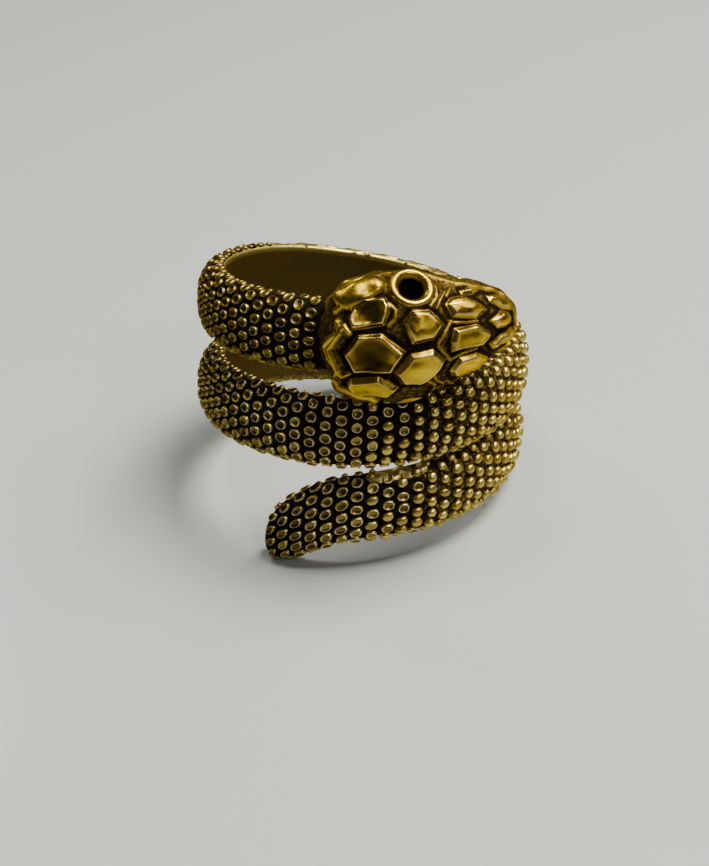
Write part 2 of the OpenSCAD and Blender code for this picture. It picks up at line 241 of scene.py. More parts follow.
# The lip, the socket and its floor: radius (over the bezel's, over the socket's, or whole),
# height over the head, and how bright
EYE_LIP = [
    (-0.10, -1.60, 0.0), (0.16, -0.50, 0.3), (0.06, -0.12, 0.5), (0.00, 0.12, 0.55),
    (-0.06, 0.26, 0.55), (-0.16, 0.34, 0.6), (-0.28, 0.36, 0.7), (-0.40, 0.31, 0.75),
]
EYE_SOCKET = [
    (0.12, 0.20, 0.6), (0.04, 0.05, 0.35), (0.00, -0.12, -0.2), (-0.08, -0.50, -0.3),
    (-0.24, -0.85, -0.3),
]
EYE_FLOOR = [(0.30, -1.15, -0.3), (0.12, -1.35, -0.3), (0.03, -1.40, -0.3)]
EYE_SAMPLES = (60, 96)  # from lip to floor, and round it
EYE_STEPS = (0.01, 1.0)  # share and degrees over which the slope of the head below it is taken
EYE_PIT, PIT_EDGE = 2.3, (-0.22, -0.04)  # how far the head gives way under it, from the bezel's edge
EYE_CLEAR = (1.1, 1.5)  # radii over which the plates begin again
EYE_MOUND, MOUND_FALL = 0.22, (1.2, 2.0)  # how far the head swells round it, and to which radii
BROW_RISE, BROW_FALL = 0.05, (0.5, 1.9)  # the same beyond the upper eye
BROW_BRIGHT, BRIGHT_FALL = 0.8, (0.9, 1.7)  # how bright the head is beyond an eye
BROW_AWAY = 1.1  # distance from an eye's middle to the middle of the brow

# Colours
BAND_GOLD, BAND_BRONZE = (0.55, 0.42, 0.105, 1), (0.32, 0.215, 0.04, 1)
HEAD_GOLD, HEAD_BRONZE = (0.52, 0.345, 0.025, 1), (0.27, 0.155, 0.012, 1)
# pale colour of the highest worn edges, which also serves as a painted highlight
WORN_EDGE_HIGHLIGHT = (0.80, 0.66, 0.32, 1)
CUP_BROWN = (0.045, 0.028, 0.006, 1)
# deep brown: patina worn thin, and the painted shade deep in the bore
DEEP_BROWN = (0.070, 0.045, 0.012, 1)
PATINA = (0.012, 0.010, 0.004, 1)
HEAD_PATINA = (0.013, 0.009, 0.003, 1)
GRAZING_TINT = (0.62, 0.48, 0.24, 1)
FLOOR_COLOUR = (0.385, 0.40, 0.38, 1)
SKY_COLOUR, SKY_STRENGTH = (0.86, 0.90, 0.88, 1), 0.08

# The metal: levels between which the patina gives way to bright metal, roughness at its finest
BAND_WEAR, BAND_POLISH = (0.12, 0.45), 0.28
HEAD_WEAR, HEAD_POLISH = (0.10, 0.65), 0.22
BROWN_WEAR, METAL_WEAR = (0.0, 0.45), (0.25, 1.0)  # where patina turns brown, and brown to metal
METALLIC_WEAR, METALLIC = (0.0, 0.3), (0.85, 1.0)
PATCHES, SPECKS, PITS = (1.6, 3.0), (0.22, 5.0), (0.10, 4.0)  # size in millimetres, detail
PIT_DEPTH, PIT_STRENGTH = 0.012, (0.35, 0.05)  # strength outside, and in the bore
PATCH_RANGE, NOISE_RANGE = (0.35, 0.70), (0.3, 0.7)  # of the noise that the metal takes up
TINT_SHARE, SPECK_SHARE = 0.25, 0.12  # how much a scale's own tint and the specks count
HIGHLIGHT_FROM, BROWN_FROM = (1.0, 1.5), (0.1, 1.0)  # level from which the highest worn edges turn pale as a painted highlight, and from which middles turn brown and the bore takes painted shade
CUP_MOST, BORE_SHADE = 0.94, 0.9  # how brown the cups get, and how dark the painted shade of the bore gets
DULL_ROUGH, BORE_ROUGH, ROUGH_SPREAD = 0.85, 0.42, 0.14
GRAZING = 0.2  # how strongly the patina reflects
FLOOR_ROUGH = 0.22

# The camera, in the ring's own frame: its tilt and roll, target and distance, and the photo's
# focal length, long side and shift in pixels
ELEVATION, ROLL = math.radians(22.4), math.radians(-2.5)
TARGET, DISTANCE = Vector((0, 0, 8)), 100.0
FOCAL_PX, LONG_SIDE_PX, SHIFT_PX = 1418.0, 866.0, (-6.36, -36.5)
SENSOR, CLIP = 36.0, (0.005, 5)

# Lamps: place and size in metres, power, colour
LAMP_TARGET = (0, 0, 0.01)
LAMPS = {
    "overhead": ((0.18, 0.03, 0.42), (0.24, 0.18), 4.7, (1.0, 0.98, 0.94)),
    "side": ((0.34, 0.08, 0.32), (0.18, 0.16), 0.8, (1.0, 0.96, 0.88)),
    "window": ((-0.24, 0.32, 0.28), (0.10, 0.10), 0.40, (0.96, 0.98, 1.0)),
    "fill": ((0.24, -0.32, 0.36), (0.14, 0.14), 0.6, (1.0, 0.98, 0.94)),
    "glint": ((-0.07, 0.05, 0.44), (0.12, 0.05), 0.55, (1.0, 0.98, 0.92)),
    "edge": ((0.30, 0.28, 0.20), (0.04, 0.04), 0.22, (1.0, 0.97, 0.90)),
}
FLOOR_HALF = 0.6


# The frame of the ring
def ring_frame():
    """Matrix from the ring's own frame, in millimetres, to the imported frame, in metres, and
    the radius of the bore."""
    bore = next(m for m in frame["record"]["mounts"] if m["name"] == "finger_bore")
    axis = Vector(bore["axis"]).normalized()
    turn = Vector((0, 0, 1)).rotation_difference(axis).to_matrix().to_4x4()
    start = Vector(bore["pos_m"]) - axis * BORE_MIDDLE * MM
    return Matrix.Translation(start) @ turn @ Matrix.Scale(MM, 4), bore["dims"]["r_mm"]


TO_FRAME, BORE_R = ring_frame()


# Curves and surfaces
def curve(table, column, x):
    """Smooth curve through one column of a table, at every x."""
    xs, ys = table[:, 0], table[:, column]
    slope = np.empty(len(xs))
    slope[1:-1] = (ys[2:] - ys[:-2]) / (xs[2:] - xs[:-2])
    slope[0] = (ys[1] - ys[0]) / (xs[1] - xs[0])
    slope[-1] = (ys[-1] - ys[-2]) / (xs[-1] - xs[-2])
    i = np.clip(np.searchsorted(xs, x, side="right") - 1, 0, len(xs) - 2)
    w = xs[i + 1] - xs[i]
    u = (x - xs[i]) / w
    return (ys[i] * (1 + 2 * u) * (1 - u) ** 2 + ys[i + 1] * u * u * (3 - 2 * u)
            + slope[i] * w * u * (1 - u) ** 2 - slope[i + 1] * w * u * u * (1 - u))


def around(angle, r, z):
    """Points at these angles round the finger, in degrees, radii and heights."""
    a = np.radians(angle)
    return np.stack(np.broadcast_arrays(r * np.cos(a), r * np.sin(a), z), axis=-1)


def bulge(q, power):
    """Reach of a full oval, q degrees from its crown."""
    a = np.radians(q)
    return (np.abs(np.cos(a)) ** power + np.abs(np.sin(a)) ** power) ** (-1 / power)


def smooth(low, high, x):
    """Smooth step from 0 at low to 1 at high."""
    t = np.clip((x - low) / (high - low), 0, 1)
    return t * t * (3 - 2 * t)


def ridge(low, top, fall, end, x):
    """Smooth ridge that rises from low to top and drops from fall to end."""
    return smooth(low, top, x) * (1 - smooth(fall, end, x))


def grid_normals(points, closed):
    """Outward unit normals of a grid of points; closed if its second direction is a loop."""
    along = np.gradient(points, axis=0)
    if closed:
        across = np.roll(points, -1, axis=1) - np.roll(points, 1, axis=1)
    else:
        across = np.gradient(points, axis=1)
    return unit(np.cross(along, across))


def unit(vectors):
    """The vectors at length 1."""
    return vectors / np.maximum(np.linalg.norm(vectors, axis=-1, keepdims=True), 1e-12)


def arc_length(points, middle):
    """Distance along the second direction of a grid, from its column called middle."""
    steps = np.linalg.norm(np.diff(points, axis=1), axis=-1)
    run = np.concatenate([np.zeros((len(points), 1)), np.cumsum(steps, axis=1)], axis=1)
    return run - run[:, middle][:, FULL]


def cast_waves(points, size, rng):
    """Smooth unevenness of about this size, mostly between -1 and 1, at each point."""
    total = np.zeros(points.shape[:-1])
    for _ in range(WAVES):
        way = rng.normal(size=3)
        way *= 2 * np.pi / (size * rng.uniform(*WAVE_RANGE) * np.linalg.norm(way))
        total += np.sin(points @ way + rng.uniform(0, 2 * np.pi))
    return total / math.sqrt(WAVES / 2)


def above_floor(points):
    """The points, with those below the surface that the ring stands on moved up to it."""
    place = np.array(TO_FRAME) / MM
    level = points @ place[2, :3] + place[2, 3]
    return points - np.minimum(level, 0)[..., FULL] * place[2, :3]


# Meshes
def rounded_end(ring, outward, rise):
    """Rings that close a section with a low dome, from the section to its middle."""
    centre = ring.mean(axis=0)
    t = np.radians(np.linspace(0, DOME_TURN, DOME_RINGS + 1)[1:])[:, FULL, FULL]
    return centre + (ring - centre) * np.cos(t) + np.array(outward) * rise * np.sin(t)


def end_normal(ring):
    """The normal of the plane through three points of a ring."""
    start, second, third = (ring[i * len(ring) // 3] for i in range(3))
    return unit(np.cross(second - start, third - start))


def store_layers(mesh, layers):
    """Store a number for each point of the mesh under each name."""
    for layer, values in layers.items():
        store = mesh.attributes.new(layer, "FLOAT", "POINT")
        store.data.foreach_set("value", values.ravel().astype(np.float32))


def tube_mesh(name, points, layers):
    """A closed mesh from a grid of points whose second direction is a loop, with flat ends.
    layers gives numbers for each point, stored as attributes."""
    rows, loop = points.shape[:2]
    index = np.arange(rows * loop).reshape(rows, loop)
    after = np.roll(index, -1, axis=1)
    quads = np.stack([index[:-1], index[1:], after[1:], after[:-1]], axis=-1).reshape(-1, 4)
    faces = quads.tolist() + [index[0].tolist(), index[-1][::-1].tolist()]
    mesh = bpy.data.meshes.new(name)
    mesh.from_pydata((points.reshape(-1, 3)).tolist(), [], faces)
    normals = grid_normals(points, closed=True).reshape(-1, 3)[quads.ravel()]
    ends = [np.tile(side * end_normal(points[e]), (loop, 1)) for e, side in ((0, 1), (-1, -1))]
    mesh.shade_smooth()
    store_layers(mesh, layers)
    mesh.transform(TO_FRAME)
    turned = np.concatenate([normals, *ends]) @ np.array(TO_FRAME.to_3x3().normalized()).T
    mesh.normals_split_custom_set(turned.tolist())
    mesh.update()
    return mesh


def caps_mesh(name, points, layers):
    """Many small caps in one mesh, each a stack of loops from its foot to its middle point.
    layers gives one number for each loop of each cap."""
    caps, loops, sides = points.shape[:3]
    index = np.arange(caps * loops * sides).reshape(caps, loops, sides)
    after = np.roll(index, -1, axis=2)
    quads = [index[:, :-2], after[:, :-2], after[:, 1:-1], index[:, 1:-1]]
    quads = np.stack(quads, axis=-1).reshape(-1, 4)
    tips = np.repeat(index[:, -1, :1], sides, axis=1)
    fans = np.stack([index[:, -2], after[:, -2], tips], axis=-1).reshape(-1, 3)
    feet = index[:, 0, ::-1]
    corners = np.concatenate([quads.ravel(), fans.ravel(), feet.ravel()])
    used, faces = np.unique(corners, return_inverse=True)
    parts = np.split(faces.ravel(), np.cumsum([quads.size, fans.size]))
    faces = [face for part, n in zip(parts, (4, 3, sides)) for face in part.reshape(-1, n).tolist()]
    mesh = bpy.data.meshes.new(name)
    mesh.from_pydata(points.reshape(-1, 3)[used].tolist(), [], faces)
    mesh.shade_smooth()
    repeated = {n: np.repeat(v[:, :, FULL], sides, axis=2).ravel()[used] for n, v in layers.items()}
    store_layers(mesh, repeated)
    mesh.transform(TO_FRAME)
    mesh.update()
    return mesh


def with_end(values, rows, first):
    """Values of a grid, with those of its first or last row repeated for a rounded end."""
    end = np.repeat(values[:1] if first else values[-1:], rows, axis=0)
    return np.concatenate([end, values] if first else [values, end])


def piece(name, mesh, material):
    """A piece of the ring: rides on its body and takes the given material."""
    obj = bpy.data.objects.new(name, mesh)
    bpy.context.scene.collection.objects.link(obj)
    obj.data.materials.append(material)
    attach(obj, "root")
    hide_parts("snake_ring")


# The band
def band_outside(angle, q):
    """Points of the band's outside, at the bottom of the grooves, q degrees from its crown."""
    half, wall = curve(COIL, 2, angle), curve(COIL, 3, angle) - SCALE_RISE
    m = bulge(q, BAND_ROUNDNESS)
    out = RIM_WALL + (wall - RIM_WALL) * m * np.cos(np.radians(q))
    up = half * m * np.sin(np.radians(q))
    return around(angle, BORE_R + out, curve(COIL, 1, angle) + up)


def band_inside(angle):
    """Points from the upper rim over the inner edge, down the bore's wall and back to the
    lower rim, and how much painted shade each has deeper in the bore, from 0 to 1."""
    half, middle = curve(COIL, 2, angle), curve(COIL, 1, angle)
    inner = INNER_SHARE * half
    slope = (half - inner) / RIM_WALL
    t, places = np.linspace(0, 1, EDGE_SAMPLES), np.linspace(1, -1, WALL_SAMPLES + 2)[1:-1]
    out = np.concatenate([RIM_STEPS, INNER_EDGE * (1 - t) ** 2])
    down = np.concatenate([0 * np.array(RIM_STEPS), INNER_EDGE * t * t])
    rim, wall = inner + slope * out - down, places * (inner - INNER_EDGE)
    height = np.concatenate([rim, wall, -rim[:, ::-1]], axis=1)
    shade = EDGE_SHADE * down / INNER_EDGE
    out = np.concatenate([out, 0 * places, out[::-1]])
    depth = np.concatenate([shade, 0 * places + 1, shade[::-1]]) + 0 * angle
    hidden = UNDER_HEAD * smooth(*HEAD_COVER, angle - HEAD_FROM)
    return around(angle, BORE_R + hidden + out, middle + height), depth


def share_across(points):
    """How far each point lies across the ring, from the ringed scales to the worn ones."""
    return (points[..., 0] - WORN_FROM) / (WORN_TO - WORN_FROM)


def bare_rim(angle):
    """How bright the smooth stretches of the upper rim are, and 0 elsewhere."""
    out, into = RIM_BLEND
    return sum(bright * ridge(start - out, start + into, end - into, end + out, angle)
               for start, end, _, bright in SMOOTH_RIMS)


def core_outside(angle, bare):
    """Points of the outside, uneven along its smooth stretches, and how bright they are."""
    q = np.linspace(-90, 90, CORE_SAMPLES[1] + 1)
    points = band_outside(angle, q[FULL, :])
    uneven = cast_waves(points, RIM_WAVE, np.random.default_rng(SEED + 2)) * np.minimum(bare, 1)
    rise = RIM_DEPTH / FAINT_RIM * np.clip(uneven, -RIM_LIMIT, RIM_LIMIT)
    points = points + grid_normals(points, closed=False) * rise[..., FULL]
    land = (bare + RIM_MOTTLE * uneven) * smooth(*LAND_FROM, q)
    return points, np.maximum(land, GAP_RELIEF * smooth(*GAP_SIDE, share_across(points)))


def core_inside(angle, bare):
    """Points of the rims and the bore's wall, how bright they are and their painted shade in the
    bore.
    """
    points, depth = band_inside(angle)
    wear_and_light = np.linspace(*EDGE_RELIEF, depth.shape[1]) + EDGE_BRIGHT * smooth(*BRIGHT_RIM, bare)
    uneven = np.clip(cast_waves(points, RIM_WAVE, np.random.default_rng(SEED + 3)), -1, 1)
    mottled = EDGE_MOTTLE * np.minimum(bare, FAINT_RIM) * uneven * (depth < EDGE_SHADE)
    return points, wear_and_light + mottled, depth


def column_count():
    """Columns of scales from tail to neck, an even number."""
    length = math.radians(NECK_ANGLE - TAIL_ANGLE) * (BORE_R + BAND_WALL)
    return 2 * round(length / 2 / SCALE_PITCH)


def build_core(material):
    """The band itself, dark between its scales, with its bright rims and smooth bore."""
    angle = np.linspace(TAIL_ANGLE, NECK_ANGLE, column_count() * CORE_SAMPLES[0] + 1)[:, FULL]
    bare = bare_rim(angle)
    outside, land = core_outside(angle, bare)
    inside, edges, depth = core_inside(angle, bare)
    points = np.concatenate([outside, inside], axis=1)
    a = math.radians(TAIL_ANGLE)
    tip = rounded_end(points[0], (math.sin(a), -math.cos(a), 0), TAIL_DOME)[::-1]
    wear_and_light = with_end(np.concatenate([land, edges], axis=1), len(tip), first=True)
    inner = with_end(np.concatenate([0 * land, depth], axis=1), len(tip), first=True)
    layers = {"wear_and_light": wear_and_light, "centre": 0 * wear_and_light, "inner": inner, "tint": 0 * wear_and_light}
    piece("band_core", tube_mesh("band_core", np.concatenate([tip, points]), layers), material)


# The scales
def on_smooth_rim(angle, row):
    """Whether a row of scales lies on one of the smooth stretches of the upper rim."""
    return any(start < angle < end and row > last for start, end, last, _ in SMOOTH_RIMS)


def on_open_edge(angle):
    """Whether the lower rim is bare at this angle."""
    return any(start < angle < end for start, end in OPEN_EDGES)


def near_rim_size(angle, row):
    """Size of a scale of the upper rows, which dwindle towards the smooth stretches."""
    gaps = [max(start - angle, angle - end, 0.0)
            for start, end, last, _ in SMOOTH_RIMS if row > last]
    return RIM_SMALLEST + (1 - RIM_SMALLEST) * min([1.0] + [gap / RIM_FADE for gap in gaps])


def scale_fits(angle, row, reach):
    """Whether there is room for a scale at this angle in this row."""
    beyond = abs(row) * HALF_ROW + EDGE_ROOM > reach or angle > NECK_FADE
    under_tip = angle < TIP_BARE[0] and row < TIP_BARE[1]
    on_bare_edge = on_open_edge(angle) and row < OPEN_LAST_ROW
    return not (beyond or under_tip or on_bare_edge or on_smooth_rim(angle, row))


def bead_sides(angle, column):
    """The edges at which a column of scales ends in a bead: -1 the lower, 1 the upper."""
    if column % 2 or angle > NECK_FADE:
        return []
    lower, upper = not on_open_edge(angle), not on_smooth_rim(angle, SCALE_ROWS)
    return [-1] * lower + [1] * upper


def scale_places(rng):
    """Angle, distance from the crown and size of every scale, and random numbers for each."""
    columns = column_count()
    places = []
    for column in range(1, columns + 1):
        angle = TAIL_ANGLE + (NECK_ANGLE - TAIL_ANGLE) * column / columns
        room = curve(COIL, 2, np.array([angle]))[0] / BAND_HALF
        growth = 1 - TIP_SHRINK * (1 - smooth(*TIP_RANGE, angle))
        for row in range(-SCALE_ROWS - 1, SCALE_ROWS + 2):
            if (row - column) % 2 == 0 and scale_fits(angle, row, EDGE_REACH * room):
                places.append((angle, row * HALF_ROW, growth * near_rim_size(angle, row)))
        for side in bead_sides(angle, column):
            places.append((angle, side * BEAD_RUN * room, BEAD_SIZE))
    return *np.array(places).T, rng.uniform(-1, 1, (len(places), 6))


def section_finder():
    """A function that turns angles and distances from the crown into degrees from it."""
    angles = np.linspace(TAIL_ANGLE, NECK_ANGLE, FINDER_SAMPLES[0])
    degrees = np.linspace(-FINDER_SPAN, FINDER_SPAN, FINDER_SAMPLES[1])
    run = arc_length(band_outside(angles[:, FULL], degrees[FULL, :]), len(degrees) // 2)
    reach = np.linspace(-FINDER_REACH, FINDER_REACH, FINDER_SAMPLES[2])
    table = np.stack([np.interp(reach, own, degrees) for own in run])

    def find(angle, run):
        i = np.clip((angle - angles[0]) / (angles[1] - angles[0]), 0, len(angles) - 1.001)
        j = np.clip((run - reach[0]) / (reach[1] - reach[0]), 0, len(reach) - 1.001)
        i0, j0 = i.astype(int), j.astype(int)
        u, v = i - i0, j - j0
        low = table[i0, j0] * (1 - v) + table[i0, j0 + 1] * v
        high = table[i0 + 1, j0] * (1 - v) + table[i0 + 1, j0 + 1] * v
        return low * (1 - u) + high * u

    return find


def scale_wear(size, across, own):
    """How far each scale has worn from a ringed cup to a dome."""
    turned = smooth(*WORN_TURN, across + WORN_SCATTER * own[:, 2])
    return np.maximum(np.clip(turned + WORN_SPREAD * own[:, 3], 0, 1), size < DOMED_BELOW)


def scale_outlines(angle, size, across, own, uneven):
    """Places along and across the band of every point of the scales, from their middles."""
    turns = np.linspace(0, 2 * np.pi, SCALE_SIDES, endpoint=False)
    reach = SCALE_FORM[:, :1] * bulge(np.degrees(turns), SCALE_POWER)
    right, beyond_tail = smooth(*RIGHT_SIDE, across), smooth(*TAIL_END, angle)
    shorter = (1 - RIGHT_SHORT * right) * (1 - TAIL_LONG * beyond_tail)
    long = SCALE_HALF_LENGTH * size * shorter * (1 + uneven * own[:, 0])
    wide = SCALE_HALF_WIDTH * size * (1 - RIGHT_NARROW * right) * (1 + uneven * own[:, 1])
    lean = np.radians(UNEVEN_LEAN * uneven * own[:, 2])[:, FULL, FULL]
    shift_u, shift_v = ((UNEVEN_SHIFT * uneven * own[:, i])[:, FULL, FULL] for i in (3, 4))
    u = long[:, FULL, FULL] * reach * np.cos(turns)
    v = wide[:, FULL, FULL] * reach * np.sin(turns)
    return (u * np.cos(lean) - v * np.sin(lean) + shift_u,
            u * np.sin(lean) + v * np.cos(lean) + shift_v)


def scale_heights(run, size, worn, unevenness):
    """Height over the grooves of each loop of each scale."""
    height = SCALE_FORM[:, 1] * (1 - worn) + SCALE_FORM[:, 2] * worn
    lower = 1 - EDGE_DROP * smooth(*EDGE_BAND, np.abs(run))
    return height * ((1 + unevenness) * np.sqrt(size) * lower)[:, FULL]


def scale_layers(angle, across, worn, own):
    """The material's numbers for each loop of each scale."""
    # painted shade: scales darker and browner on the top coil beside the head, and on the ring's far
    # left
    neck_shade = smooth(*NECK_SIDE, angle)[:, FULL]
    left = 1 - smooth(*LEFT_SIDE, across)[:, FULL]
    # painted light: cup rims brighter and middles less brown towards the right
    front_light = FRONT_LIGHT * smooth(*FRONT_SIDE, across)[:, FULL]
    cup, dome, brown = SCALE_FORM[:, 3], SCALE_FORM[:, 4], SCALE_FORM[:, 5]
    bright = (cup * (1 + front_light) * (1 - worn) + dome * worn) * (1 - NECK_SHADE * neck_shade)
    middles = brown * (1 - DOME_CLEAN * worn) * (CUP_TONE - front_light + CUP_VARY * own[:, 4:5])
    # the painted shade of both turns whole scales brown through the centre layer
    dull = np.maximum(NECK_SHADE_BROWN * neck_shade, LEFT_SHADE * left)
    tint = 0.5 + 0.5 * own[:, :1] + 0 * bright
    return {"wear_and_light": bright, "centre": np.maximum(middles, dull), "inner": 0 * bright, "tint": tint}


def build_scales(material):
    """Oval scales on the band: cups with a thin rim on the left, worn to domes on the right."""
    angle, run, size, own = scale_places(np.random.default_rng(SEED))
    find = section_finder()
    across = share_across(band_outside(angle, find(angle, run)))
    worn = scale_wear(size, across, own)[:, FULL]
    uneven = UNEVEN + UNEVEN_MORE * smooth(*UNEVEN_SIDE, across)
    u, v = scale_outlines(angle, size, across, own, uneven)
    at = angle[:, FULL, FULL] + np.degrees(u / (BORE_R + SCALE_LEVEL))
    q = find(at, run[:, FULL, FULL] + v)
    base, (step, step_q) = band_outside(at, q), SLOPE_STEPS
    along, up = band_outside(at + step, q) - base, band_outside(at, q + step_q) - base
    normal = unit(np.cross(along, up))
    height = scale_heights(run, size, worn, uneven * own[:, 5])
    points = above_floor(base + normal * height[..., FULL, FULL])
    layers = scale_layers(angle, across, worn, own)
    names = ("scales_tail", "scales_lower", "scales_middle", "scales_upper")
    cuts = np.linspace(0, len(points), len(names) + 1).astype(int)
    for name, start, end in zip(names, cuts, cuts[1:]):
        own_layers = {layer: values[start:end] for layer, values in layers.items()}
        piece(name, caps_mesh(name, points[start:end], own_layers), material)


# The head
def head_base(s, q):
    """Points of the head's outside at shares s of its arc, q degrees from the radial."""
    h, w = curve(HEAD, 2, s), curve(HEAD, 1, s)
    m = bulge(q, HEAD_ROUNDNESS)
    out = h * (HEAD_SHOULDER + (1 - HEAD_SHOULDER) * m * np.cos(np.radians(q)))
    up = curve(HEAD, 4, s) + w * m * np.sin(np.radians(q))
    return around(HEAD_FROM + HEAD_ARC * s, BORE_R + out, HEAD_Z + up)


def head_inside(s, upper, lower):
    """Points from the head's upper edge down the bore's wall to its lower edge, and how much
    painted shade each has deeper in the bore, from 0 to 1."""
    angle = HEAD_FROM + HEAD_ARC * s[:, 0]
    w, middle = HEAD_BORE_SHARE * curve(HEAD, 1, s[:, 0]), HEAD_Z + curve(HEAD, 4, s[:, 0])
    top, low = around(angle, BORE_R, middle + w), around(angle, BORE_R, middle - w)
    steps, shades = zip(*HEAD_RIM)
    rows = [upper + (top - upper) * t for t in steps]
    rows += [top + (low - top) * t for t in np.linspace(0.02, 0.98, WALL_SAMPLES)]
    rows += [lower + (low - lower) * t for t in steps[::-1]]
    depth = np.array(shades + (1.0,) * WALL_SAMPLES + shades[::-1])
    return np.stack(rows, axis=1), depth + 0 * s


def line_distance(x, y, places):
    """Distance of each point from a broken line."""
    nearest = np.full(x.shape, 1e9)
    for (ax, ay), (bx, by) in zip(places, places[1:]):
        dx, dy = bx - ax, by - ay
        t = np.clip(((x - ax) * dx + (y - ay) * dy) / (dx * dx + dy * dy), 0, 1)
        nearest = np.minimum(nearest, np.hypot(x - ax - t * dx, y - ay - t * dy))
    return nearest


def polygon_depth(x, y, corners):
    """Distance of each point inside an outline from it, below nothing outside it."""
    inside = np.zeros(x.shape, bool)
    for (ax, ay), (bx, by) in zip(corners, corners[1:] + corners[:1]):
        slope = (bx - ax) / (by - ay or 1e-9)
        inside ^= ((ay > y) != (by > y)) & (x < slope * (y - ay) + ax)
    away = line_distance(x, y, corners + corners[:1])
    return np.where(inside, away, -away)


def spot_finder(s, q, x, y):
    """A function that finds where a place on the head lies on its flattened skin. The place
    is a share of the arc and degrees, from the turned crown or else from the radial."""
    def find(share, degrees, turned=True):
        i = np.clip(np.searchsorted(s[:, 0], share), 0, len(s) - 1)
        crown = curve(HEAD, 3, np.array([share]))[0] if turned else 0
        return x[i, 0], float(np.interp(degrees + crown, q[0], y[i]))

    return find


def sunk_middle(x, y, places):
    """How far each point lies towards the middle of a plate, from 0 to 1."""
    corners = np.array(places)
    centre = corners.mean(axis=0)
    reach = np.hypot(*(corners - centre).T).mean()
    return smooth(0, 1, MIDDLE_REACH - np.hypot(x - centre[0], y - centre[1]) / reach)


def plates_form(x, y, find):
    """Height of the head plates, depth of each point within the nearest one, how bright
    their edges are and how brown their middles."""
    height, edges, brown = (np.zeros(y.shape) for _ in range(3))
    deepest = np.full(y.shape, -1e9)
    for corners, sink, rise, bevel, tone in PLATES:
        places = [find(*corner) for corner in corners]
        depth = polygon_depth(x, y, places) + PLATE_GROWTH
        middle = sunk_middle(x, y, places) * (depth > 0)
        form = smooth(0, bevel, depth) * rise + PLATE_LIP * ridge(*LIP_FORM, depth) - sink * middle
        height = np.maximum(height, np.where(depth > 0, form, 0.0))
        brown = np.where(depth > deepest, tone * smooth(*MIDDLE_BROWN, middle), brown)
        edges = np.maximum(edges, ridge(*LINE_FORM, depth))
        deepest = np.maximum(deepest, depth)
    return height, deepest, edges, brown


def add_folds(height, wear_and_light, x, y, find):
    """Height and brightness with the ridges and the temples of both sides added."""
    for side in (1, -1):
        for places, half, rise, bright in FOLDS:
            line = [find(share, side * degrees) for share, degrees in places]
            near = 1 - smooth(0, 1, line_distance(x, y, line) / half)
            height, wear_and_light = np.maximum(height, rise * near), np.maximum(wear_and_light, bright * near)
        places, half, rise = TEMPLE
        line = [find(share, side * degrees) for share, degrees in places]
        swell = 1 - (line_distance(x, y, line) / half) ** 4
        height, wear_and_light = np.maximum(height, rise * swell), np.maximum(wear_and_light, swell)
    return height, wear_and_light


def add_eyes(height, wear_and_light, x, y, find):
    """Height and brightness with a mound, a brow and a pit for each eye added."""
    pits = np.zeros(y.shape)
    for share, degrees, *_ in EYES.values():
        ex, ey = find(share, degrees, turned=False)
        away = np.hypot(x - ex, y - ey)
        beyond = np.hypot(x - ex, y - ey - math.copysign(BROW_AWAY, degrees))
        brow = BROW_RISE * (1 - smooth(*BROW_FALL, beyond)) if degrees > 0 else 0
        mound = EYE_MOUND * (1 - smooth(*MOUND_FALL, away))
        height = np.maximum(height * smooth(*EYE_CLEAR, away), brow + mound)
        wear_and_light = np.maximum(wear_and_light, BROW_BRIGHT * (1 - smooth(*BRIGHT_FALL, beyond)))
        pits = np.maximum(pits, 1 - smooth(*PIT_EDGE, away - BEZEL_R))
    return height - EYE_PIT * pits, wear_and_light * (1 - pits)


def head_relief(s, q, x, y):
    """Height of the plates, folds and eye pits over the head in millimetres, how bright and
    how brown each point is, for a skin flattened to x and y."""
    find = spot_finder(s, q, x, y)
    height, depth, edges, brown = plates_form(x, y, find)
    # painted shade: the skin on the head's underside, towards the snout, is darker
    skin = SKIN_RELIEF * (1 - smooth(*JAW_SHADE_SIDE, -q) * smooth(*JAW_SHADE_FROM, s))
    skin = skin * smooth(*SKIN_FROM, -depth)
    wear_and_light = np.maximum(smooth(*PLATE_BRIGHT, depth) + PLATE_LINE * edges, skin)
    height, wear_and_light = add_folds(height, wear_and_light, x, y, find)
    height, wear_and_light = add_eyes(height, wear_and_light, x, y, find)
    return height, wear_and_light, brown


def build_head(material):
    """The head with its plates, its inner wall and its rounded snout."""
    even = np.linspace(0, 1, HEAD_SAMPLES[0])
    crowded = 0.5 - 0.5 * np.cos(np.pi * even)
    back = HEAD[0, 0]
    s = (HEAD_ENDS * crowded + (1 - HEAD_ENDS) * even)[:, FULL] * (1 - back) + back
    q = np.linspace(-HEAD_EDGE, HEAD_EDGE, HEAD_SAMPLES[1] + 1)[FULL, :]
    base = head_base(s, q)
    y = arc_length(base, HEAD_SAMPLES[1] // 2)
    x = s * math.radians(HEAD_ARC) * (BORE_R + HEAD_TOP) + 0 * y
    height, wear_and_light, brown = head_relief(s, q, x, y)
    height = height + CAST_DEPTH * cast_waves(base, CAST_WAVE, np.random.default_rng(SEED + 1))
    outside = base + grid_normals(base, closed=False) * height[..., FULL]
    inside, depth = head_inside(s, outside[:, -1], outside[:, 0])
    points = np.concatenate([outside, inside], axis=1)
    a = math.radians(HEAD_FROM + HEAD_ARC)
    tip = rounded_end(points[-1], (-math.sin(a), math.cos(a), 0), SNOUT_DOME)
    parts = {"wear_and_light": (wear_and_light, HEAD_WALL_RELIEF + 0 * depth), "centre": (brown, 0 * depth),
             "inner": (0 * height, depth), "tint": (0 * height + 0.5, 0 * depth + 0.5)}
    layers = {name: with_end(np.concatenate(part, axis=1), len(tip), first=False)
              for name, part in parts.items()}
    piece("head", tube_mesh("head", np.concatenate([points, tip]), layers), material)


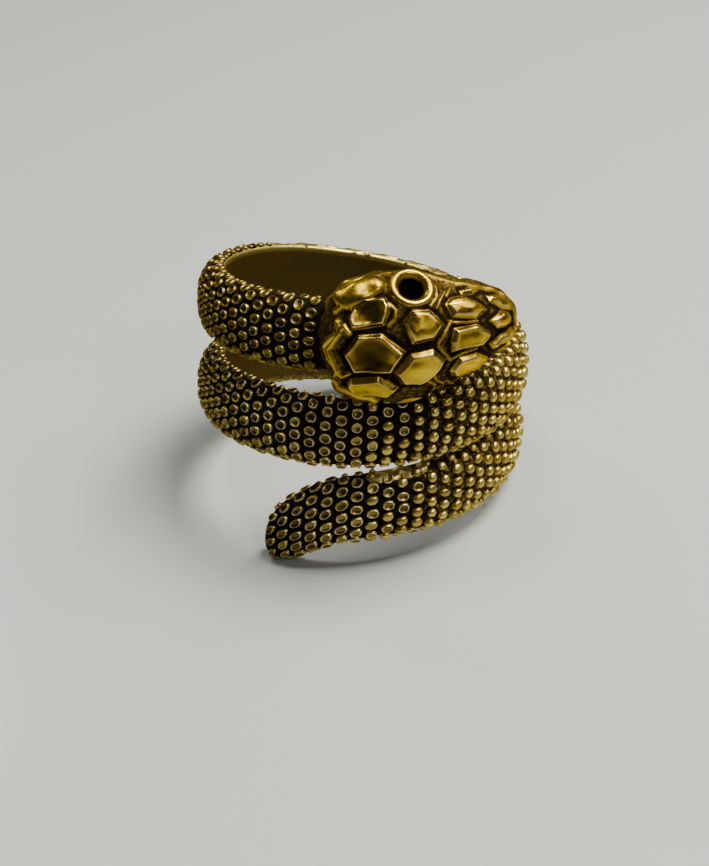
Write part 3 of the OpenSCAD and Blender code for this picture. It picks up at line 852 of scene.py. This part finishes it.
# The eyes
def eye_profile():
    """Radius, height and brightness of each ring of an eye, from its foot to its floor."""
    rows = [(BEZEL_R + r, z, tone) for r, z, tone in EYE_LIP]
    rows += [(SOCKET_R + r, z, tone) for r, z, tone in EYE_SOCKET]
    rows += EYE_FLOOR
    steps = np.linspace(0, len(rows) - 1, EYE_SAMPLES[0])
    return [np.interp(steps, range(len(rows)), column)[:, FULL] for column in zip(*rows)]


def build_eye(name, share, q, lean, lift, material):
    """A round raised lip that slopes in to an empty, dark socket."""
    near_s, near_q = share + EYE_STEPS[0] * np.arange(-1, 2), q + EYE_STEPS[1] * np.arange(-1, 2)
    near = head_base(near_s[:, FULL], near_q[FULL, :])
    normal = grid_normals(near, closed=False)[1, 1]
    turn = Matrix.Rotation(math.radians(lean), 3, Vector(near[2, 1] - near[0, 1]))
    axis_z = np.array(turn @ Vector(normal))
    axis_x = unit(np.cross((0, 0, 1), axis_z))
    axis_y = np.cross(axis_z, axis_x)
    radius, level, tone = eye_profile()
    turns = np.linspace(0, 2 * np.pi, EYE_SAMPLES[1], endpoint=False)
    spokes = np.cos(turns)[:, FULL] * axis_x + np.sin(turns)[:, FULL] * axis_y
    points = near[1, 1] + normal * lift + radius[..., FULL] * spokes + level[..., FULL] * axis_z
    wear_and_light = tone + 0 * turns
    layers = {"wear_and_light": wear_and_light, "centre": 0 * wear_and_light, "inner": 0 * wear_and_light, "tint": 0 * wear_and_light + 0.5}
    piece(name, tube_mesh(name, points[:, ::-1], layers), material)


# Materials
def new_material(name):
    """A material of this name, and its shader."""
    material = bpy.data.materials.new(name)
    material.use_nodes = True
    return material, material.node_tree.nodes["Principled BSDF"]


def node(tree, kind, values, **settings):
    """A new node with its settings, and values or links for its inputs by name or number."""
    made = tree.nodes.new(kind)
    for key, value in settings.items():
        setattr(made, key, value)
    for key, value in values.items():
        if isinstance(value, bpy.types.NodeSocket):
            tree.links.new(value, made.inputs[key])
        else:
            made.inputs[key].default_value = value
    return made


def blend_colour(tree, factor, first, second):
    made = node(tree, "ShaderNodeMix", {0: factor, 6: first, 7: second}, data_type="RGBA")
    return made.outputs[2]


def blend_number(tree, factor, first, second):
    made = node(tree, "ShaderNodeMix", {0: factor, 2: first, 3: second}, data_type="FLOAT")
    return made.outputs[0]


def add_numbers(tree, first, second):
    return node(tree, "ShaderNodeMath", {0: first, 1: second}, operation="ADD").outputs[0]


def remap(tree, value, low, high, to_low=0.0, to_high=1.0):
    """The value with low to high stretched to another range, and kept within it."""
    made = node(tree, "ShaderNodeMapRange", {0: value, 1: low, 2: high, 3: to_low, 4: to_high})
    return made.outputs[0]


def noise(tree, size_mm, detail):
    """Noise whose features are about size_mm across."""
    place = node(tree, "ShaderNodeTexCoord", {}).outputs["Object"]
    values = {"Vector": place, "Scale": 1 / (size_mm * MM), "Detail": detail}
    return node(tree, "ShaderNodeTexNoise", values).outputs["Fac"]


def attribute(tree, name):
    return node(tree, "ShaderNodeAttribute", {}, attribute_name=name).outputs["Fac"]


def metal_colour(tree, gold, bronze, wear_and_light, centre, inner, tint):
    """The bright metal: gold and bronze by patches, pale on the highest worn edges (painted
    highlight), brown in the middles and in painted shade on some scales, and darker in the bore
    (painted shade)."""
    own = remap(tree, tint, 0, 1, -TINT_SHARE, TINT_SHARE)
    patches = add_numbers(tree, noise(tree, *PATCHES), own)
    metal = blend_colour(tree, remap(tree, patches, *PATCH_RANGE), gold, bronze)
    # painted highlight: the highest worn edges turn pale
    metal = blend_colour(tree, remap(tree, wear_and_light, *HIGHLIGHT_FROM), metal, WORN_EDGE_HIGHLIGHT)
    metal = blend_colour(tree, remap(tree, centre, *BROWN_FROM, 0.0, CUP_MOST), metal, CUP_BROWN)
    # painted shade: darker brown deeper in the bore
    return blend_colour(tree, remap(tree, inner, *BROWN_FROM, 0.0, BORE_SHADE), metal, DEEP_BROWN)


def antique_brass(name, gold, bronze, patina, wear_levels, finest):
    """Cast brass: near-black patina low down, worn bright high up between the two wear levels (their
    level also carries painted light and shade), with uneven tone, brown middles and fine pits."""
    material, shader = new_material(name)
    tree = material.node_tree
    # the first layer is how worn each point is, with painted highlight, light and shade added in
    # places
    wear_and_light, centre, inner, tint = (attribute(tree, n) for n in ("wear_and_light", "centre", "inner", "tint"))
    specks = noise(tree, *SPECKS)
    height = add_numbers(tree, wear_and_light, remap(tree, specks, *NOISE_RANGE, -SPECK_SHARE, SPECK_SHARE))
    wear = remap(tree, height, *wear_levels)
    metal = metal_colour(tree, gold, bronze, wear_and_light, centre, inner, tint)
    dull = blend_colour(tree, remap(tree, wear, *BROWN_WEAR), patina, DEEP_BROWN)
    colour = blend_colour(tree, remap(tree, wear, *METAL_WEAR), dull, metal)
    polish = remap(tree, specks, *NOISE_RANGE, finest, finest + ROUGH_SPREAD)
    rough = blend_number(tree, wear, DULL_ROUGH, blend_number(tree, inner, polish, BORE_ROUGH))
    bump = {"Strength": remap(tree, inner, 0, 1, *PIT_STRENGTH), "Distance": PIT_DEPTH * MM,
            "Height": noise(tree, *PITS)}
    tree.links.new(colour, shader.inputs["Base Color"])
    tree.links.new(remap(tree, wear, *METALLIC_WEAR, *METALLIC), shader.inputs["Metallic"])
    tree.links.new(rough, shader.inputs["Roughness"])
    tree.links.new(node(tree, "ShaderNodeBump", bump).outputs[0], shader.inputs["Normal"])
    shader.inputs["Specular IOR Level"].default_value = GRAZING
    shader.inputs["Specular Tint"].default_value = GRAZING_TINT
    return material


def plain_floor():
    material, shader = new_material("pale_floor")
    shader.inputs["Base Color"].default_value = FLOOR_COLOUR
    shader.inputs["Roughness"].default_value = FLOOR_ROUGH
    return material


# The scene
def build_floor():
    corners = [(x * FLOOR_HALF, y * FLOOR_HALF, 0) for x, y in ((-1, -1), (1, -1), (1, 1), (-1, 1))]
    mesh = bpy.data.meshes.new("floor")
    mesh.from_pydata(corners, [], [(0, 1, 2, 3)])
    mesh.materials.append(plain_floor())
    floor = bpy.data.objects.new("floor", mesh)
    bpy.context.scene.collection.objects.link(floor)


def build_camera():
    """The photo's view: set in the ring's own frame, where the finger axis stands upright."""
    ahead = Vector((0, math.cos(ELEVATION), -math.sin(ELEVATION)))
    level_up, level_right = Vector((0, math.sin(ELEVATION), math.cos(ELEVATION))), Vector((1, 0, 0))
    right = math.cos(ROLL) * level_right - math.sin(ROLL) * level_up
    up = math.sin(ROLL) * level_right + math.cos(ROLL) * level_up
    turn = TO_FRAME.to_3x3().normalized() @ Matrix((right, up, -ahead)).transposed()
    data = bpy.data.cameras.new("camera")
    data.sensor_width = SENSOR
    data.lens = SENSOR * FOCAL_PX / LONG_SIDE_PX
    data.shift_x, data.shift_y = (p / LONG_SIDE_PX for p in SHIFT_PX)
    data.clip_start, data.clip_end = CLIP
    camera = bpy.data.objects.new("camera", data)
    bpy.context.scene.collection.objects.link(camera)
    place = TO_FRAME @ (TARGET - ahead * DISTANCE)
    camera.matrix_world = Matrix.Translation(place) @ turn.to_4x4()
    bpy.context.scene.camera = camera


def build_lamp(name, place, size, power, colour):
    """A soft lamp that looks at the ring."""
    data = bpy.data.lights.new(name, "AREA")
    data.shape, data.size, data.size_y = "RECTANGLE", size[0], size[1]
    data.energy, data.color = power, colour
    lamp = bpy.data.objects.new(name, data)
    bpy.context.scene.collection.objects.link(lamp)
    lamp.location = place
    ahead = Vector(LAMP_TARGET) - Vector(place)
    lamp.rotation_euler = ahead.to_track_quat("-Z", "Y").to_euler()


def build_lights():
    for name, settings in LAMPS.items():
        build_lamp(name, *settings)
    world = bpy.data.worlds.new("studio")
    bpy.context.scene.world = world
    world.use_nodes = True
    sky = world.node_tree.nodes["Background"].inputs
    sky[0].default_value = SKY_COLOUR
    sky[1].default_value = SKY_STRENGTH


build_camera()
build_floor()
build_lights()
band_brass = antique_brass("band_brass", BAND_GOLD, BAND_BRONZE, PATINA, BAND_WEAR, BAND_POLISH)
head_brass = antique_brass("head_brass", HEAD_GOLD, HEAD_BRONZE, HEAD_PATINA, HEAD_WEAR, HEAD_POLISH)
build_core(band_brass)
build_scales(band_brass)
build_head(head_brass)
for eye, place in EYES.items():
    build_eye(eye, *place, head_brass)
